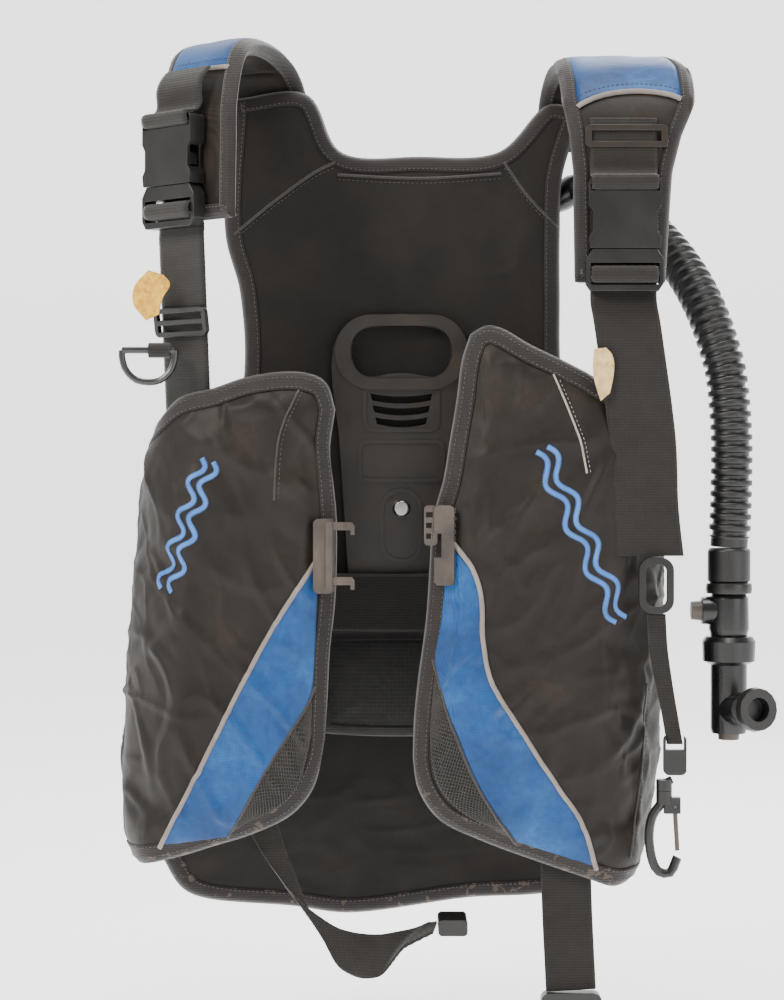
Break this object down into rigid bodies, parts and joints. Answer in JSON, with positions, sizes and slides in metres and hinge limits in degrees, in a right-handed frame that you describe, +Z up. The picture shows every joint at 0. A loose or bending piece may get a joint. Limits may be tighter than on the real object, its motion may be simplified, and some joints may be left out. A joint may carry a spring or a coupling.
{
  "type": "buoyancy compensator vest",
  "caption": "Jacket-style diving buoyancy vest: padded lobes that fold open, shoulder straps with side-release buckles, moulded back plate, rear bladder, cylinder band and inflator hose.",
  "frame": {"origin": "the hanging seat midway between the undersides of the two shoulder pads", "axes": "+X to the wearer's left, +Y from the open front to the back, +Z up"},
  "size_m": [0.4964, 0.2661, 0.7682],
  "materials": {
    "fabric": "coated woven nylon, very dark brown-black",
    "blue_fabric": "coated woven nylon, mid blue",
    "webbing": "flat woven polyester webbing",
    "black_plastic": "moulded acetal, satin",
    "grey_plastic": "moulded plastic, grey-brown",
    "rubber": "moulded rubber",
    "steel": "stainless steel",
    "black_steel": "black coated steel",
    "pale_tape": "plain paper tape and cloth tag"
  },
  "bodies": {
    "root": {"back_panel": "fabric", "lumbar_pad": "fabric", "air_bladder": "fabric", "left_side_panel": "fabric", "right_side_panel": "fabric", "left_shoulder_pad": "blue_fabric", "right_shoulder_pad": "blue_fabric", "tank_band": "webbing", "left_upper_webbing": "webbing", "left_lower_webbing": "webbing", "left_d_ring_loop": "webbing", "right_upper_webbing": "webbing", "right_lower_webbing": "webbing", "accessory_strap": "webbing", "tank_saddle": "black_plastic", "cam_buckle_body": "black_plastic", "dump_valve": "black_plastic", "left_buckle_female": "black_plastic", "left_buckle_male": "black_plastic", "left_slider": "black_plastic", "right_buckle_female": "black_plastic", "right_buckle_male": "black_plastic", "accessory_loop": "black_plastic", "accessory_slider": "black_plastic", "snap_swivel": "black_plastic", "back_plate": "grey_plastic", "right_keeper": "grey_plastic", "upper_pack_bolt": "steel", "upper_pack_nut": "steel", "lower_pack_bolt": "steel", "lower_pack_nut": "steel", "left_strap_tag": "pale_tape", "right_strap_tag": "pale_tape"},
    "lobe_left": {"left_front_lobe": "fabric", "clip_hook_plate": "grey_plastic", "left_waist_webbing": "webbing", "waist_buckle_male": "black_plastic"},
    "lobe_right": {"right_front_lobe": "fabric", "clip_receiver": "grey_plastic", "right_waist_webbing": "webbing", "waist_buckle_female": "black_plastic"},
    "inflator": {"hose_elbow": "black_plastic", "inflator_hose": "rubber", "hose_cuff": "rubber", "hose_tie": "black_plastic", "inflator_body": "black_plastic", "mouthpiece_housing": "black_plastic", "mouthpiece": "rubber", "low_pressure_nipple": "steel"},
    "inflate_button": {"inflate_button": "grey_plastic"},
    "deflate_button": {"deflate_button": "grey_plastic"},
    "d_ring": {"left_d_ring": "black_steel"},
    "hook": {"snap_hook": "black_plastic"},
    "gate": {"snap_gate": "grey_plastic"},
    "prong_left_outer": {"left_prong_outer": "black_plastic"},
    "prong_left_inner": {"left_prong_inner": "black_plastic"},
    "prong_right_outer": {"right_prong_outer": "black_plastic"},
    "prong_right_inner": {"right_prong_inner": "black_plastic"},
    "cam_lever": {"cam_lever": "black_plastic"},
    "dump_knob": {"dump_knob": "black_plastic"}
  },
  "joints": [
    {"name": "left_lobe_fold", "type": "hinge", "parent": "root", "child": "lobe_left", "pos_m": [-0.134, -0.082, -0.42], "axis": [0, 0, -1], "range_deg": [0, 100]},
    {"name": "right_lobe_fold", "type": "hinge", "parent": "root", "child": "lobe_right", "pos_m": [0.146, -0.082, -0.42], "axis": [0, 0, 1], "range_deg": [0, 100]},
    {"name": "inflator_swing", "type": "hinge", "parent": "root", "child": "inflator", "pos_m": [0.112, 0.0793, -0.0965], "axis": [0.8652, 0, 0.5015], "range_deg": [-12, 8]},
    {"name": "inflate_press", "type": "slide", "parent": "inflator", "child": "inflate_button", "axis": [1, 0, 0], "range_m": [0, 0.002], "stiffness_N_per_m": 600},
    {"name": "deflate_press", "type": "slide", "parent": "inflator", "child": "deflate_button", "axis": [0, 0, 1], "range_m": [0, 0.003], "stiffness_N_per_m": 600},
    {"name": "left_ring_swing", "type": "hinge", "parent": "root", "child": "d_ring", "pos_m": [-0.184, -0.068, -0.217], "axis": [-1, 0, 0], "range_deg": [0, 100]},
    {"name": "hook_swivel", "type": "hinge", "parent": "root", "child": "hook", "pos_m": [0.204, -0.0851, -0.56], "axis": [0, 0, 1], "continuous": true},
    {"name": "gate_open", "type": "hinge", "parent": "hook", "child": "gate", "pos_m": [0.212, -0.0851, -0.5598], "axis": [0, 1, 0], "range_deg": [0, 22], "stiffness_Nm_per_rad": 0.05},
    {"name": "left_outer_squeeze", "type": "hinge", "parent": "root", "child": "prong_left_outer", "pos_m": [-0.17279, -0.06165, -0.093], "axis": [0.6814, 0.7319, 0], "range_deg": [0, 11], "stiffness_Nm_per_rad": 0.3},
    {"name": "left_inner_squeeze", "type": "hinge", "parent": "root", "child": "prong_left_inner", "pos_m": [-0.15741, -0.07596, -0.093], "axis": [-0.6814, -0.7319, 0], "range_deg": [0, 11], "stiffness_Nm_per_rad": 0.3},
    {"name": "right_outer_squeeze", "type": "hinge", "parent": "root", "child": "prong_right_outer", "pos_m": [0.1845, -0.0838, -0.142], "axis": [0, -1, 0], "range_deg": [0, 11], "stiffness_Nm_per_rad": 0.3},
    {"name": "right_inner_squeeze", "type": "hinge", "parent": "root", "child": "prong_right_inner", "pos_m": [0.1635, -0.0838, -0.142], "axis": [0, 1, 0], "range_deg": [0, 11], "stiffness_Nm_per_rad": 0.3},
    {"name": "cam_lever_turn", "type": "hinge", "parent": "root", "child": "cam_lever", "pos_m": [-0.0125, 0.16215, -0.373], "axis": [0, 0, 1], "range_deg": [0, 120]},
    {"name": "dump_pull", "type": "slide", "parent": "root", "child": "dump_knob", "axis": [0, 1, 0], "range_m": [0, 0.006], "stiffness_N_per_m": 300}
  ],
  "couplings": [
    {"joint": "left_inner_squeeze", "follows": "left_outer_squeeze", "ratio": 1},
    {"joint": "right_inner_squeeze", "follows": "right_outer_squeeze", "ratio": 1}
  ]
}
